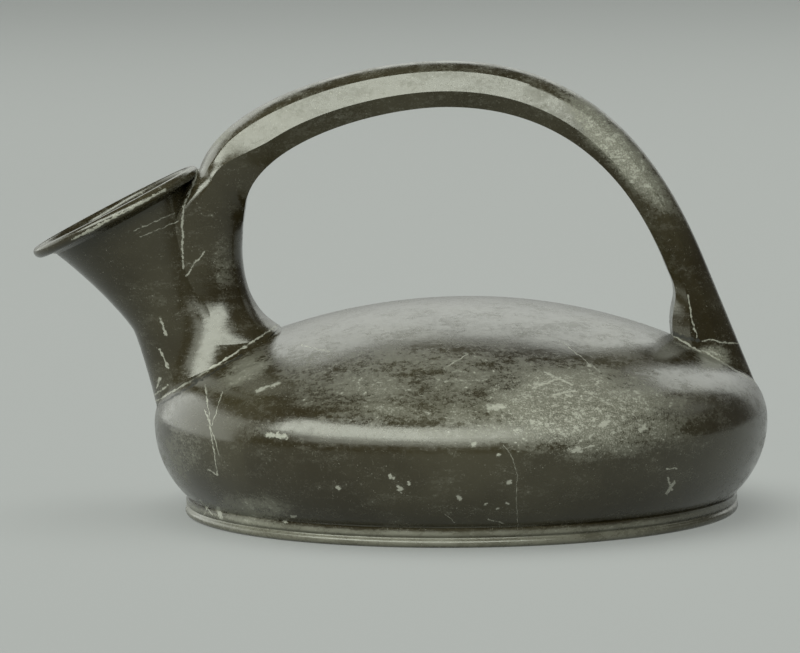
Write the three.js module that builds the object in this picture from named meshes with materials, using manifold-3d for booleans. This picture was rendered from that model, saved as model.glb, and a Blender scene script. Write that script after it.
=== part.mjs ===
// Spouted jug of fired clay with a black gloss: a low round closed body on a ring foot, a trumpet
// spout that leans out over one side, and one strap handle that arches from the back of the spout
// to the far shoulder. The jug is one hollow piece and is open only at the mouth of the spout.
//
// Millimetres, +Z up. The model is laid out around the axis of the wheel (x = 0, y = 0) with the
// foot standing on z = 0 and the spout towards -X, and is then moved so that the origin is the
// middle of its outline, on the surface that it stands on.

import * as THREE from 'three';
import { mergeVertices } from 'three/addons/utils/BufferGeometryUtils.js';
import Module from 'manifold-3d';

const wasm = await Module();
wasm.setup();

const { Vector2, Vector3 } = THREE;
const DEGREE = Math.PI / 180;

// Driving dimensions

const BODY = {
  radius: 58.2, // widest radius, at the belly
  bellyHeight: 17.3, // height of the widest point
  crownHeight: 40.4, // top of the dome
  shoulderRadius: 10.8, // tight curve between the belly and the dome
  wall: 2.8,
  floor: 3.0, // thickness of the bottom inside the foot ring
};

const FOOT = {
  height: 3.6,
  undercut: 6.1, // how far the waist, where the wall meets the foot, lies in from the belly
  swell: 0.5, // how far the foot stands out past the waist
  grooveHeight: 1.55, // fine groove that sets off the lip of the foot
  grooveDepth: 0.3,
  edgeRounding: 0.8, // between the side of the foot and its resting face
  ringWidth: 5.0, // resting face, from the edge rounding inwards
  recess: 1.8, // depth of the hollow under the floor
  recessSlope: 1.0, // how far the inner side of the ring leans in
};

const SPOUT = {
  reach: 65.0, // from the wheel axis to the middle of the mouth
  mouthHeight: 57.4,
  lean: 32.6 * DEGREE, // of the axis, from upright, outwards
  mouthTilt: 27.0 * DEGREE, // of the mouth, which dips a little less than the axis leans
  mouthRadius: 17.4, // outside of the lip
  lipThickness: 2.2,
  flareRadius: 14.5, // outside of the trumpet right under the lip
  flareCurve: 1.6, // higher is a later and sharper flare
  neckRadius: 9.6, // outside of the narrowest part
  neckDepth: 20.5, // from the mouth down to the narrowest part
  baseRadius: 16.0, // outside of the wide lower end, which dies into the belly
  baseDepth: 38.6, // from the mouth down to that end
  seamDepth: 35.2, // where the back of the spout meets the dome
  baseCurve: 1.2,
  wall: 2.3,
  holeRadius: 9.8, // opening through the shoulder, under the spout
};

const HANDLE = {
  crownHeight: 85.4, // top of the arch
  crownOffset: 2.6, // how far the top lies from the wheel axis, towards the spout
  crownThickness: 8.55,
  kneeReach: 47.3, // outer face of the leg, where it leaves the arch
  kneeHeight: 45.2,
  kneeThickness: 7.8,
  rimGap: 0.4, // outer face of the root, past the lip of the spout
  rootInset: 8.6, // from the outer to the inner face of the root, sideways
  rootDrop: 7.6, // and downwards
  heelWidth: 15.0, // lower end, down the back of the neck
  tongueWidth: 17.6, // where its two sides run out on the neck
  crownWidth: 12.2,
  kneeWidth: 11.6,
  footWidth: 17.0,
  footInnerReach: 40.7, // inner face, where the handle stands on the shoulder
  footOuterInset: 0.9, // outer face there, in from the widest radius of the body
  footSink: 1.0, // how far that edge of the foot goes under the surface
  legShare: 0.36, // spacing of the rings down the leg
  innerFace: 0.72, // share of the width that the flat inner face takes
  heelArris: 0.8, // height of the side edge, as a share of the thickness
  rootArris: 0.72,
  crownArris: 0.36,
  legArris: 0.22,
};

// Pulls of the two arches. Each leaves its end at an angle from level, with a length that is a
// share of the rise, and reaches the crown level, with a length that is a share of the span.
const ARCH = {
  rootInner: { angle: 85.6 * DEGREE, pull: 0.667, crownPull: 0.33 },
  rootOuter: { angle: 70.4 * DEGREE, pull: 0.67, crownPull: 0.385 },
  kneeInner: { angle: 110.9 * DEGREE, pull: 0.577, crownPull: 0.557 },
  kneeOuter: { angle: 111.3 * DEGREE, pull: 0.52, crownPull: 0.597 },
};

// Pulls below the root and the knee, sideways and upwards from the point that each one leaves.
const BEND = {
  heelInner: new Vector2(-7.8, 4.6),
  heelOuter: new Vector2(-8, 10),
  rootInner: new Vector2(-1.2, -7.9),
  rootOuter: new Vector2(-9.5, -7.5),
  kneeInner: new Vector2(3.1, -6.4),
  footInner: new Vector2(-2.1, 7.3),
};

const EMBED = 2.0; // how far a joined part runs on into what carries it

const DETAIL = {
  bodyTurns: 72,
  cavityTurns: 44,
  spoutTurns: 40,
  boreTurns: 28,
  arcSteps: 7,
  edgeSteps: 3,
  cavityArcSteps: 4,
  flareSteps: 6,
  lipSteps: 5,
  boreSteps: 5,
  backSteps: 8,
  handleSteps: 11,
};

// Helpers

const { lerp, smoothstep } = THREE.MathUtils;

function arc(centreX, centreZ, radius, from, to, steps) {
  return Array.from({ length: steps + 1 }, (_, i) => {
    const angle = lerp(from, to, i / steps);
    return new Vector2(centreX + radius * Math.cos(angle), centreZ + radius * Math.sin(angle));
  });
}

// Turns a profile of (radius, height) points, given from the lower pole to the upper one, around Z.
function turned(profile, turns) {
  const geometry = new THREE.LatheGeometry(profile, turns);
  geometry.rotateX(Math.PI / 2);
  return geometry;
}

// Joins rings of points, all of one length, into a closed skin with a flat cap at each end.
function lofted(rings) {
  const count = rings[0].length;
  const positions = rings.flat().flatMap((point) => point.toArray());
  const index = [];
  for (let row = 0; row < rings.length - 1; row += 1) {
    for (let column = 0; column < count; column += 1) {
      const next = (column + 1) % count;
      const a = row * count + column;
      const b = row * count + next;
      index.push(a, b, b + count, a, b + count, a + count);
    }
  }
  const last = (rings.length - 1) * count;
  for (let column = 1; column < count - 1; column += 1) {
    index.push(0, column + 1, column);
    index.push(last, last + column, last + column + 1);
  }
  const geometry = new THREE.BufferGeometry();
  geometry.setAttribute('position', new THREE.Float32BufferAttribute(positions, 3));
  geometry.setIndex(index);
  return geometry;
}

function solidOf(geometry) {
  const bare = geometry.clone();
  bare.deleteAttribute('normal');
  bare.deleteAttribute('uv');
  const merged = mergeVertices(bare, 1e-4);
  const corners = merged.index.array;
  const triangles = [];
  for (let i = 0; i < corners.length; i += 3) {
    const [a, b, c] = corners.slice(i, i + 3);
    if (a !== b && b !== c && c !== a) {
      triangles.push(a, b, c);
    }
  }
  return new wasm.Manifold(new wasm.Mesh({
    numProp: 3,
    vertProperties: new Float32Array(merged.attributes.position.array),
    triVerts: new Uint32Array(triangles),
  }));
}

function geometryOf(solid) {
  const mesh = solid.getMesh();
  const geometry = new THREE.BufferGeometry();
  geometry.setAttribute('position', new THREE.BufferAttribute(mesh.vertProperties, 3));
  geometry.setIndex(new THREE.BufferAttribute(mesh.triVerts, 1));
  geometry.computeVertexNormals();
  return geometry;
}

// Body: the outline is a lower wall, a tight shoulder and a shallow dome, three arcs that meet
// without a corner.

const shoulderCentre = new Vector2(BODY.radius - BODY.shoulderRadius, BODY.bellyHeight);
const rise = BODY.crownHeight - BODY.bellyHeight;
const domeRadius = (shoulderCentre.x ** 2 + rise ** 2 - BODY.shoulderRadius ** 2)
  / (2 * (rise - BODY.shoulderRadius));
const domeCentreHeight = BODY.crownHeight - domeRadius;
const shoulderEnd = Math.atan2(BODY.bellyHeight - domeCentreHeight, shoulderCentre.x);

const wallDrop = BODY.bellyHeight - FOOT.height;
const lowerRadius = (FOOT.undercut ** 2 + wallDrop ** 2) / (2 * FOOT.undercut);
const lowerCentreReach = BODY.radius - lowerRadius;

// Outline of the body from a given height up to the top of the dome, moved in by inset.
function bodyOutline(fromHeight, inset, steps) {
  const start = Math.asin((fromHeight - BODY.bellyHeight) / (lowerRadius - inset));
  return [
    ...arc(lowerCentreReach, BODY.bellyHeight, lowerRadius - inset, start, 0, steps),
    ...arc(shoulderCentre.x, shoulderCentre.y, BODY.shoulderRadius - inset, 0, shoulderEnd, steps).slice(1),
    ...arc(0, domeCentreHeight, domeRadius - inset, shoulderEnd, Math.PI / 2, steps).slice(1, -1),
    new Vector2(0, BODY.crownHeight - inset),
  ];
}

// Height of the outside of the body at a distance from the wheel axis, on the dome or shoulder.
function topOfBody(reach) {
  const seam = shoulderCentre.x + BODY.shoulderRadius * Math.cos(shoulderEnd);
  if (reach < seam) {
    return domeCentreHeight + Math.sqrt(domeRadius ** 2 - reach ** 2);
  }
  const past = Math.min(reach - shoulderCentre.x, BODY.shoulderRadius);
  return shoulderCentre.y + Math.sqrt(BODY.shoulderRadius ** 2 - past ** 2);
}

function footOutline() {
  const side = BODY.radius - FOOT.undercut + FOOT.swell;
  const restingEdge = side - FOOT.edgeRounding;
  const ringInside = restingEdge - FOOT.ringWidth;
  const upperBand = (FOOT.grooveHeight + FOOT.height) / 2;
  return [
    new Vector2(0, FOOT.recess),
    new Vector2(ringInside - FOOT.recessSlope, FOOT.recess),
    new Vector2(ringInside, 0),
    ...arc(restingEdge, FOOT.edgeRounding, FOOT.edgeRounding, -Math.PI / 2, 0, DETAIL.edgeSteps),
    new Vector2(side - FOOT.grooveDepth, FOOT.grooveHeight),
    new Vector2(side, upperBand),
  ];
}

function bodySolid() {
  const profile = [...footOutline(), ...bodyOutline(FOOT.height, 0, DETAIL.arcSteps)];
  return solidOf(turned(profile, DETAIL.bodyTurns));
}

function cavitySolid() {
  const floorTop = FOOT.recess + BODY.floor;
  const profile = [new Vector2(0, floorTop), ...bodyOutline(floorTop, BODY.wall, DETAIL.cavityArcSteps)];
  return solidOf(turned(profile, DETAIL.cavityTurns));
}

// Spout: a trumpet turned around its own axis. Depths are measured from the mouth down the axis.

const mouth = new Vector3(-SPOUT.reach, 0, SPOUT.mouthHeight);

// How far a point sinks along the axis because the mouth is tilted, growing from neck to mouth.
function mouthDip(depth, across) {
  const share = 1 - smoothstep(depth, 0, SPOUT.neckDepth);
  return across * Math.tan(SPOUT.lean - SPOUT.mouthTilt) * share;
}

function placeSpout(geometry) {
  const points = geometry.attributes.position;
  for (let i = 0; i < points.count; i += 1) {
    points.setZ(i, points.getZ(i) - mouthDip(-points.getZ(i), points.getX(i)));
  }
  geometry.rotateY(-SPOUT.lean);
  geometry.translate(mouth.x, mouth.y, mouth.z);
  return geometry;
}

// Point of the spout's middle plane at a depth down its axis and a distance towards the handle.
function spoutPoint(depth, across) {
  const down = depth + mouthDip(depth, across);
  const sin = Math.sin(SPOUT.lean);
  const cos = Math.cos(SPOUT.lean);
  return new Vector2(mouth.x + down * sin + across * cos, mouth.z - down * cos + across * sin);
}

// Outside radius of the trumpet at a depth, without its lip.
function trumpetRadius(depth) {
  if (depth < SPOUT.neckDepth) {
    const share = (SPOUT.neckDepth - depth) / SPOUT.neckDepth;
    return SPOUT.neckRadius + (SPOUT.flareRadius - SPOUT.neckRadius) * share ** SPOUT.flareCurve;
  }
  const share = (depth - SPOUT.neckDepth) / (SPOUT.baseDepth - SPOUT.neckDepth);
  return SPOUT.neckRadius + (SPOUT.baseRadius - SPOUT.neckRadius) * share ** SPOUT.baseCurve;
}

function spoutSolid() {
  const lip = SPOUT.lipThickness / 2;
  const below = [];
  for (let i = 0; i <= DETAIL.flareSteps; i += 1) {
    const depth = lerp(SPOUT.baseDepth, SPOUT.neckDepth, i / DETAIL.flareSteps);
    below.push(new Vector2(trumpetRadius(depth), -depth));
  }
  const above = [];
  for (let i = 1; i <= DETAIL.flareSteps; i += 1) {
    const depth = lerp(SPOUT.neckDepth, lip, i / DETAIL.flareSteps);
    above.push(new Vector2(trumpetRadius(depth), -depth));
  }
  const profile = [
    new Vector2(0, -SPOUT.baseDepth - EMBED),
    new Vector2(SPOUT.baseRadius - 2 * EMBED, -SPOUT.baseDepth - EMBED),
    ...below,
    ...above,
    ...arc(SPOUT.mouthRadius - lip, 0, lip, -Math.PI / 2, Math.PI / 2, DETAIL.lipSteps),
    new Vector2(0, lip),
  ];
  return solidOf(placeSpout(turned(profile, DETAIL.spoutTurns)));
}

function boreSolid() {
  const lip = SPOUT.lipThickness / 2;
  const shoulderDepth = SPOUT.baseDepth - SPOUT.wall;
  const neckBore = SPOUT.neckRadius - SPOUT.wall;
  const below = [];
  for (let i = 0; i <= DETAIL.boreSteps; i += 1) {
    const share = i / DETAIL.boreSteps;
    const depth = lerp(shoulderDepth, SPOUT.neckDepth, share);
    const radius = lerp(SPOUT.holeRadius, neckBore, smoothstep(share, 0, 1));
    below.push(new Vector2(radius, -depth));
  }
  const above = [];
  for (let i = 1; i <= DETAIL.boreSteps; i += 1) {
    const depth = lerp(SPOUT.neckDepth, lip, i / DETAIL.boreSteps);
    above.push(new Vector2(trumpetRadius(depth) - SPOUT.wall, -depth));
  }
  const edge = SPOUT.mouthRadius - SPOUT.lipThickness;
  const clear = lip + EMBED;
  const profile = [
    new Vector2(0, -SPOUT.baseDepth - 2 * BODY.wall),
    new Vector2(SPOUT.holeRadius, -SPOUT.baseDepth - 2 * BODY.wall),
    ...below,
    ...above,
    new Vector2(edge, lip),
    new Vector2(edge, clear),
    new Vector2(0, clear),
  ];
  return solidOf(placeSpout(turned(profile, DETAIL.boreTurns)));
}

// Handle: a strap whose inner and outer faces follow two chains of curves in the middle plane,
// from the lower end on the neck over the root, the crown and the knee to the foot.

function bezier(...points) {
  return new THREE.CubicBezierCurve(...points);
}

// One half of an arch, from its end up to the crown.
function archHalf(end, crown, { angle, pull, crownPull }) {
  const lift = crown.y - end.y;
  const span = crown.x - end.x;
  const leaving = new Vector2(Math.cos(angle), Math.sin(angle)).multiplyScalar(lift * pull);
  const arriving = new Vector2(crown.x - span * crownPull, crown.y);
  return bezier(end, end.clone().add(leaving), arriving, crown);
}

// A curve between two points, each with its own pull.
function pulled(from, fromPull, to, toPull, end = to) {
  return bezier(from, from.clone().add(fromPull), to.clone().add(toPull), end);
}

function reversed(curve) {
  return bezier(curve.v3, curve.v2, curve.v1, curve.v0);
}

const crownOuter = new Vector2(-HANDLE.crownOffset, HANDLE.crownHeight);
const crownInner = crownOuter.clone().sub(new Vector2(0, HANDLE.crownThickness));

const rootOuter = spoutPoint(0, SPOUT.mouthRadius + HANDLE.rimGap);
const rootInner = rootOuter.clone().add(new Vector2(HANDLE.rootInset, -HANDLE.rootDrop));

const heelInner = spoutPoint(SPOUT.seamDepth, trumpetRadius(SPOUT.seamDepth));
const heelOuter = spoutPoint(SPOUT.seamDepth, 0);

const kneeOuter = new Vector2(HANDLE.kneeReach, HANDLE.kneeHeight);
const kneeInner = kneeOuter.clone().sub(new Vector2(HANDLE.kneeThickness, 0));

const footReach = BODY.radius - HANDLE.footOuterInset;
const footOuter = new Vector2(footReach, topOfBody(footReach) - HANDLE.footSink);
const footInner = new Vector2(HANDLE.footInnerReach, topOfBody(HANDLE.footInnerReach));

function handleStretches() {
  const legSpan = footOuter.clone().sub(kneeOuter);
  const along = legSpan.clone().multiplyScalar(HANDLE.legShare);
  const back = legSpan.clone().multiplyScalar(2 * HANDLE.legShare - 1);
  const buried = footInner.clone().sub(new Vector2(0, EMBED));
  return [
    {
      inner: pulled(heelInner, BEND.heelInner, rootInner, BEND.rootInner),
      outer: pulled(heelOuter, BEND.heelOuter, rootOuter, BEND.rootOuter),
      width: [HANDLE.heelWidth, HANDLE.tongueWidth],
      arris: [HANDLE.heelArris, HANDLE.rootArris],
      round: [1, 1],
      change: [0.25, 0.55],
    },
    {
      inner: archHalf(rootInner, crownInner, ARCH.rootInner),
      outer: archHalf(rootOuter, crownOuter, ARCH.rootOuter),
      width: [HANDLE.tongueWidth, HANDLE.crownWidth],
      arris: [HANDLE.rootArris, HANDLE.crownArris],
      round: [1, 0],
      change: [0, 0.75],
    },
    {
      inner: reversed(archHalf(kneeInner, crownInner, ARCH.kneeInner)),
      outer: reversed(archHalf(kneeOuter, crownOuter, ARCH.kneeOuter)),
      width: [HANDLE.crownWidth, HANDLE.kneeWidth],
      arris: [HANDLE.crownArris, HANDLE.legArris],
      round: [0, 0],
      change: [0, 1],
    },
    {
      inner: pulled(kneeInner, BEND.kneeInner, footInner, BEND.footInner, buried),
      outer: pulled(kneeOuter, along, footOuter, back),
      width: [HANDLE.kneeWidth, HANDLE.footWidth],
      arris: [HANDLE.legArris, HANDLE.legArris],
      round: [0, 0],
      change: [0, 1],
    },
  ];
}

// Section of the strap: a domed back, a side edge, and sides that lean in to an inner face, which
// is flat (round = 0) or curved (round = 1). Each point is a share of the half width and a share
// of the thickness, from the inner face.
function strapSection(arris, round) {
  const curved = (angle) => new Vector2(Math.cos(angle), arris * (1 - Math.sin(angle)));
  const corner = new Vector2(HANDLE.innerFace, 0).lerp(curved(60 * DEGREE), round);
  const side = curved(30 * DEGREE);
  const back = arc(0, 0, 1, 0, Math.PI, DETAIL.backSteps);
  return [
    new Vector2(-side.x, side.y),
    new Vector2(-corner.x, corner.y),
    new Vector2(0, 0),
    corner,
    side,
    ...back.map((point) => new Vector2(point.x, arris + (1 - arris) * point.y)),
  ];
}

function strapRing(inner, outer, width, arris, round) {
  return strapSection(arris, round).map((point) => {
    const across = new Vector2().lerpVectors(inner, outer, point.y);
    return new Vector3(across.x, point.x * width / 2, across.y);
  });
}

function handleSolid() {
  const rings = [];
  handleStretches().forEach((stretch, order) => {
    for (let i = order === 0 ? 0 : 1; i <= DETAIL.handleSteps; i += 1) {
      const share = i / DETAIL.handleSteps;
      const blend = smoothstep(share, ...stretch.change);
      rings.push(strapRing(
        stretch.inner.getPoint(share),
        stretch.outer.getPoint(share),
        lerp(...stretch.width, blend),
        lerp(...stretch.arris, blend),
        lerp(...stretch.round, blend),
      ));
    }
  });
  return solidOf(lofted(rings));
}

// Jug

function jugMesh() {
  const outside = bodySolid().add(spoutSolid()).add(handleSolid());
  const inside = cavitySolid().add(boreSolid());
  const geometry = geometryOf(outside.subtract(inside));
  const material = new THREE.MeshStandardMaterial({ color: 0x24221c, roughness: 0.28, metalness: 0 });
  const mesh = new THREE.Mesh(geometry, material);
  mesh.name = 'spouted_jug';
  geometry.computeBoundingBox();
  const { min, max } = geometry.boundingBox;
  mesh.position.set(-(min.x + max.x) / 2, -(min.y + max.y) / 2, -min.z);
  return mesh;
}

const jug = new THREE.Group();
jug.add(jugMesh());

export default jug;
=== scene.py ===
"""Fine model, finish and studio for a spouted jug of black-gloss fired clay.

The jug is one thrown and joined piece: a low closed body on a ring foot, a trumpet spout that
leans out over the left side and a strap handle from the back of the spout to the right shoulder.
Sizes are in millimetres and are laid out around the axis of the potter's wheel, with the foot on
z = 0 and the spout towards -X. Skin.to_object turns them into metres in the frame's own place.
"""

import logging
import math
from dataclasses import dataclass
from enum import Enum
from functools import partialmethod

import bpy
import numpy as np
from mathutils import Matrix, Vector


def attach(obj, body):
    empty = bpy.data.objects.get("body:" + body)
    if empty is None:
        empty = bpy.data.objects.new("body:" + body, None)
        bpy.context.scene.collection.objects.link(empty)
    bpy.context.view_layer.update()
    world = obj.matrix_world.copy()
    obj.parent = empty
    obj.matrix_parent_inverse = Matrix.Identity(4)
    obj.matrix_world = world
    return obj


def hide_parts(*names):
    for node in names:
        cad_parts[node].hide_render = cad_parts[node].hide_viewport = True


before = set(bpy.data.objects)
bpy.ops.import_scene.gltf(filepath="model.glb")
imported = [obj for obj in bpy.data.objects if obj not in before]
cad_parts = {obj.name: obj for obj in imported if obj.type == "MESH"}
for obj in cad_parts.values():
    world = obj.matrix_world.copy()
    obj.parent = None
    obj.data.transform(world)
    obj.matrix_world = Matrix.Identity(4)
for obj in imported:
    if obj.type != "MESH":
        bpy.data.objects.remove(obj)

LOG = logging.getLogger("spouted_jug")
MM = 0.001
WHEEL_AXIS = 11.256  # x of the wheel axis in the frame, in millimetres
POLE_RADIUS = 0.05  # least radius of a ring
SHARP_ANGLE = math.radians(32.0)  # edges that turn more than this stay sharp
CAMERA_DISTANCE = 900.0  # from the jug's middle plane, in millimetres
CAMERA_HEIGHT = 124.0

Points = np.ndarray
Pair = tuple[float, float]
Triple = tuple[float, float, float]
Four = tuple[float, float, float, float]


def smooth(value: Points, low: float, high: float) -> Points:
    """Rises smoothly from 0 at low to 1 at high.

    Args:
        value: Numbers to map.
        low: Where the rise starts.
        high: Where it ends.

    Returns:
        The eased numbers, each from 0 to 1.
    """
    share = np.clip((value - low) / (high - low), 0.0, 1.0)
    return share * share * (3.0 - 2.0 * share)


def arc(centre: Pair, radius: float, start: float, end: float, count: int) -> Points:
    """Points on a circle arc in the plane of radius and height.

    Args:
        centre: Middle of the circle.
        radius: Radius of the circle.
        start: First angle, in radians, from the outward direction.
        end: Last angle.
        count: Number of points.

    Returns:
        An array of (reach, height) rows.
    """
    angle = np.linspace(start, end, count)
    return np.stack([centre[0] + radius * np.cos(angle), centre[1] + radius * np.sin(angle)], 1)


def bezier(points: list, count: int) -> Points:
    """Points along a cubic curve with the given four controls.

    Args:
        points: The two ends and, between them, the two pulls.
        count: Number of points.

    Returns:
        An array with one row for each point.
    """
    t = np.linspace(0.0, 1.0, count)[:, None]
    a, b, c, d = np.asarray(points, float)
    return (1 - t) ** 3 * a + 3 * (1 - t) ** 2 * t * b + 3 * (1 - t) * t**2 * c + t**3 * d


def linked(name: str, points: Points, faces: list) -> bpy.types.Object:
    """Makes a mesh object and links it to the scene.

    Args:
        name: Name of the object and its mesh.
        points: Its points, in metres.
        faces: Point numbers of each face.

    Returns:
        The object.
    """
    mesh = bpy.data.meshes.new(name)
    mesh.from_pydata(points.reshape(-1, 3).tolist(), [], faces)
    mesh.update()
    made = bpy.data.objects.new(name, mesh)
    bpy.context.scene.collection.objects.link(made)
    return made


@dataclass
class Skin:
    """A closed surface on a grid: rings of equal length, capped at both ends."""

    rings: Points

    def to_object(self, name: str) -> bpy.types.Object:
        """Makes a mesh object of the grid, in metres in the frame.

        Args:
            name: Name of the object.

        Returns:
            The new object, linked to the scene.
        """
        rows, columns = self.rings.shape[:2]
        index = np.arange(rows * columns).reshape(rows, columns)
        across = np.roll(index, -1, axis=1)
        quads = np.stack([index[:-1], across[:-1], across[1:], index[1:]], -1).reshape(-1, 4)
        faces = quads.tolist() + [index[0, ::-1].tolist(), index[-1].tolist()]
        return linked(name, (self.rings + [WHEEL_AXIS, 0.0, 0.0]) * MM, faces)


def turned(profile: Points, columns: int) -> Points:
    """Turns a profile around the z axis.

    Args:
        profile: Rows of (reach, height), from the lower end to the upper one.
        columns: Number of points around.

    Returns:
        Rings of points, one for each row of the profile.
    """
    angle = np.linspace(0.0, 2.0 * math.pi, columns, endpoint=False)
    reach = np.maximum(profile[:, 0], POLE_RADIUS)[:, None]
    height = np.broadcast_to(profile[:, 1][:, None], (len(profile), columns))
    return np.stack([reach * np.cos(angle), reach * np.sin(angle), height], -1)


@dataclass(frozen=True)
class BodySize:
    """Sizes of the body and its foot, and the numbers of points on their outlines."""

    radius: float = 58.2
    belly_height: float = 17.3
    crown_height: float = 40.4
    shoulder_radius: float = 10.8
    wall: float = 2.8
    floor: float = 3.0
    foot_height: float = 3.6
    waist_radius: float = 52.1
    foot_swell: float = 0.5
    groove_height: float = 1.75
    groove_depth: float = 0.45
    groove_width: float = 0.35
    edge_rounding: float = 0.8
    ring_width: float = 5.0
    recess: float = 1.8
    slope_width: float = 1.4
    slope_top: Pair = (1.0, 0.15)  # in from the ring, and below the recess
    slope_end: Pair = (0.4, 0.6)  # in from the ring, and above the ground
    ring_ease: Pair = (0.8, 0.6)
    flank_ease: Pair = (0.12, 0.15)
    flank_lean: float = 0.35
    unevenness: float = 0.10
    wave_turn: float = 0.6
    wave_start: float = 30.0
    lean_length: float = 45.0
    sag: float = 2.6
    sag_length: float = 60.0
    skin_counts: tuple[int, ...] = (34, 30, 52)
    skin_columns: int = 288
    cavity_counts: tuple[int, ...] = (16, 12, 26)
    cavity_columns: int = 144
    floor_count: int = 16
    foot_counts: tuple[int, ...] = (12, 5, 7, 22)  # recess, ring, rounding and flank


class Body:
    """The low round body: a lower wall, a tight shoulder and a shallow dome on a ring foot."""

    def __init__(self, size: BodySize) -> None:
        self.size = size
        s = size
        self.shoulder = (s.radius - s.shoulder_radius, s.belly_height)
        rise = s.crown_height - s.belly_height
        self.dome_radius = (self.shoulder[0] ** 2 + rise**2 - s.shoulder_radius**2) / (
            2 * (rise - s.shoulder_radius)
        )
        self.dome_height = s.crown_height - self.dome_radius
        self.shoulder_end = math.atan2(s.belly_height - self.dome_height, self.shoulder[0])
        spread = s.radius - s.waist_radius
        drop = s.belly_height - s.foot_height
        self.lower_radius = (spread**2 + drop**2) / (2 * spread)

    def outline(self, start_height: float, inset: float, counts: tuple[int, ...]) -> Points:
        """Outline from a height up to the top of the dome.

        Args:
            start_height: Height of the first point.
            inset: Distance that the outline is moved inwards.
            counts: Points on the lower wall, the shoulder and the dome.

        Returns:
            Rows of (reach, height).
        """
        s = self.size
        lower = self.lower_radius - inset
        start = math.asin((start_height - s.belly_height) / lower)
        centre = (s.radius - self.lower_radius, s.belly_height)
        return np.concatenate([
            arc(centre, lower, start, 0.0, counts[0]),
            arc(self.shoulder, s.shoulder_radius - inset, 0.0, self.shoulder_end, counts[1])[1:],
            arc((0.0, self.dome_height), self.dome_radius - inset, self.shoulder_end, math.pi / 2,
                counts[2])[1:],
        ])

    def foot_outline(self) -> Points:
        """Outline of the underside and the side of the foot, with its fine groove.

        Returns:
            Rows of (reach, height), from the middle of the underside up to the waist.
        """
        s = self.size
        side = s.waist_radius + s.foot_swell
        edge = side - s.edge_rounding
        inner = edge - s.ring_width
        recess_count, ring_count, rounding_count, flank_count = s.foot_counts
        in_top, drop = s.slope_top
        in_end, rise = s.slope_end
        reach = np.linspace(0.0, inner - s.slope_width, recess_count)
        middle = np.stack([reach, np.full_like(reach, s.recess)], 1)
        slope = np.array([[inner - in_top, s.recess - drop], [inner - in_end, rise], [inner, 0.0]])
        reach = np.linspace(inner + s.ring_ease[0], edge - s.ring_ease[1], ring_count)
        ring = np.stack([reach, np.zeros_like(reach)], 1)
        rounding = arc((edge, s.edge_rounding), s.edge_rounding, -math.pi / 2, 0.0, rounding_count)
        low, high = s.edge_rounding + s.flank_ease[0], s.foot_height - s.flank_ease[1]
        height = np.linspace(low, high, flank_count)
        groove = s.groove_depth * np.exp(-(((height - s.groove_height) / s.groove_width) ** 2))
        lean = s.flank_lean * (height - s.edge_rounding) / s.foot_height
        flank = np.stack([side - groove - lean, height], 1)
        return np.concatenate([middle, slope, ring, rounding, flank])

    def skin(self) -> Skin:
        """The outside, with the slight unevenness of a thrown and fired pot.

        Above the belly each point is raised by a wave that goes up and down twice around the pot and
        dies out towards the pole, and by a lean to the right, less a sag that grows to the left.

        Returns:
            A closed skin.
        """
        s = self.size
        outline = self.outline(s.foot_height, 0.0, s.skin_counts)
        rings = turned(np.concatenate([self.foot_outline(), outline]), s.skin_columns)
        x, y, z = rings[..., 0], rings[..., 1], rings[..., 2]
        upper = smooth(z, s.belly_height, s.crown_height)
        swing = smooth(np.hypot(x, y), 0.0, s.wave_start)
        wave = swing * np.sin(2.0 * np.arctan2(y, x) + s.wave_turn)
        sag = s.sag * s.unevenness * (1.0 - x / s.sag_length) / 2.0
        rings[..., 2] = z + upper * (s.unevenness * (wave + x / s.lean_length) - sag)
        return Skin(rings)

    def cavity(self) -> Skin:
        """The hollow inside.

        Returns:
            A closed skin.
        """
        s = self.size
        floor_top = s.recess + s.floor
        wall = self.outline(floor_top, s.wall, s.cavity_counts)
        reach = np.linspace(0.0, wall[0, 0], s.floor_count)[:-1]
        floor = np.stack([reach, np.full_like(reach, floor_top)], 1)
        return Skin(turned(np.concatenate([floor, wall]), s.cavity_columns))


@dataclass(frozen=True)
class SpoutSize:
    """Sizes of the spout and its numbers of points. Depths run from the mouth down its axis."""

    reach: float = 65.0
    mouth_height: float = 57.4
    lean: float = math.radians(32.6)
    mouth_tilt: float = math.radians(27.0)
    mouth_radius: float = 17.4
    lip: float = 2.2
    flare_radius: float = 14.5
    flare_curve: float = 1.6
    neck_radius: float = 9.6
    neck_depth: float = 20.5
    base_radius: float = 15.2
    base_depth: float = 38.6
    seam_depth: float = 35.2
    base_curve: float = 1.2
    side_radius: float = 18.0
    side_curve: float = 3.2
    wall: float = 2.3
    hole_radius: float = 9.8
    bead_start: float = -0.80 * math.pi  # where the lip's bead leaves the trumpet
    bead_overlap: float = 1.6  # depth of the trumpet's end, in half lips
    run_on: float = 2.0  # how far the ends of the skins go past what they join
    end_inset: float = 4.0
    lead: float = 2.0  # how far the bore goes past the base, in body walls
    trumpet_count: int = 76
    bead_count: int = 18
    skin_columns: int = 144
    bore_counts: tuple[int, ...] = (18, 30, 9)
    bore_columns: int = 96


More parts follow.
